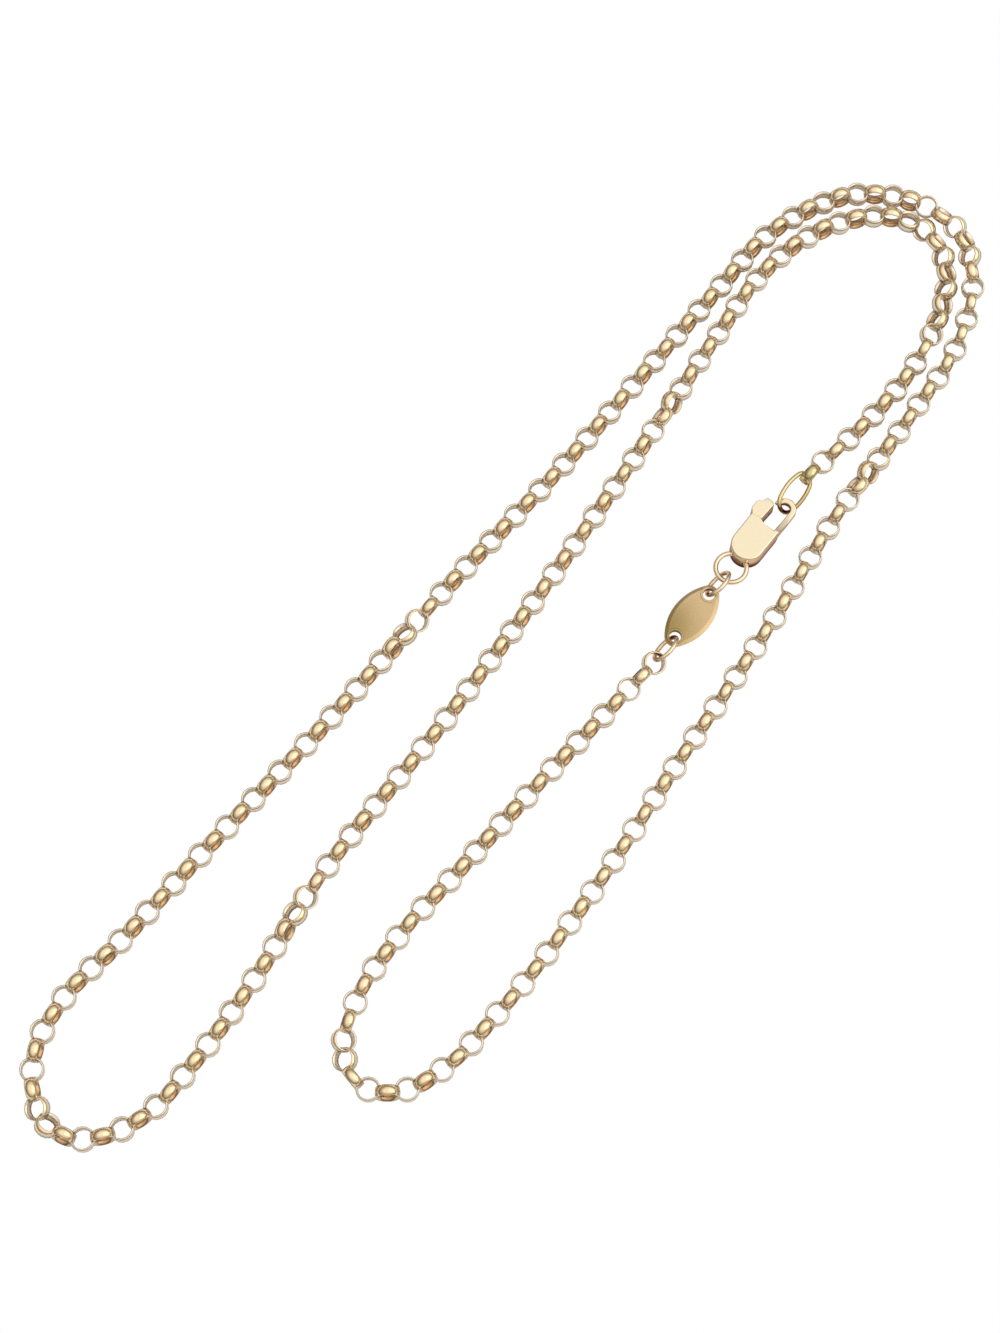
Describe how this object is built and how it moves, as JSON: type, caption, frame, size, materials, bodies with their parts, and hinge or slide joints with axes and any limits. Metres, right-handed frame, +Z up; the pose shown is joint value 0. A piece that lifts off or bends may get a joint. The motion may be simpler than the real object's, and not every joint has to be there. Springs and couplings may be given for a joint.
{
  "type": "rolo chain necklace",
  "caption": "Fine round-link rolo chain necklace with a lobster clasp and a small plain oval tag, fastened and lying as a long folded loop.",
  "frame": {"origin": "middle of the footprint, on the surface that the necklace lies on", "axes": "+Z up, +X along the long strands from the two left bends to the right bend, +Y across the strands"},
  "size_m": [0.1316, 0.0354, 0.0024],
  "materials": {
    "link_gold": "polished warm gold, stamped band links",
    "wire_gold": "polished gold wire",
    "tag_gold": "satin gold, slightly olive",
    "clasp_gold": "mirror polished pale gold"
  },
  "bodies": {
    "necklace": {"chain": "link_gold", "first_link": "link_gold", "last_link": "link_gold", "tag": "tag_gold", "tag_link_chain": "wire_gold", "tag_link_ring": "wire_gold", "jump_ring": "wire_gold", "clasp_body": "clasp_gold", "end_link": "wire_gold"},
    "lever": {"clasp_lever": "clasp_gold"}
  },
  "joints": [
    {"name": "clasp_lever_hinge", "type": "hinge", "parent": "necklace", "child": "lever", "pos_m": [0.0235, -0.00605, 0.0012], "axis": [0, 0, 1], "range_deg": [-20, 0], "stiffness_Nm_per_rad": 0.002, "springref_deg": 20.05}
  ]
}
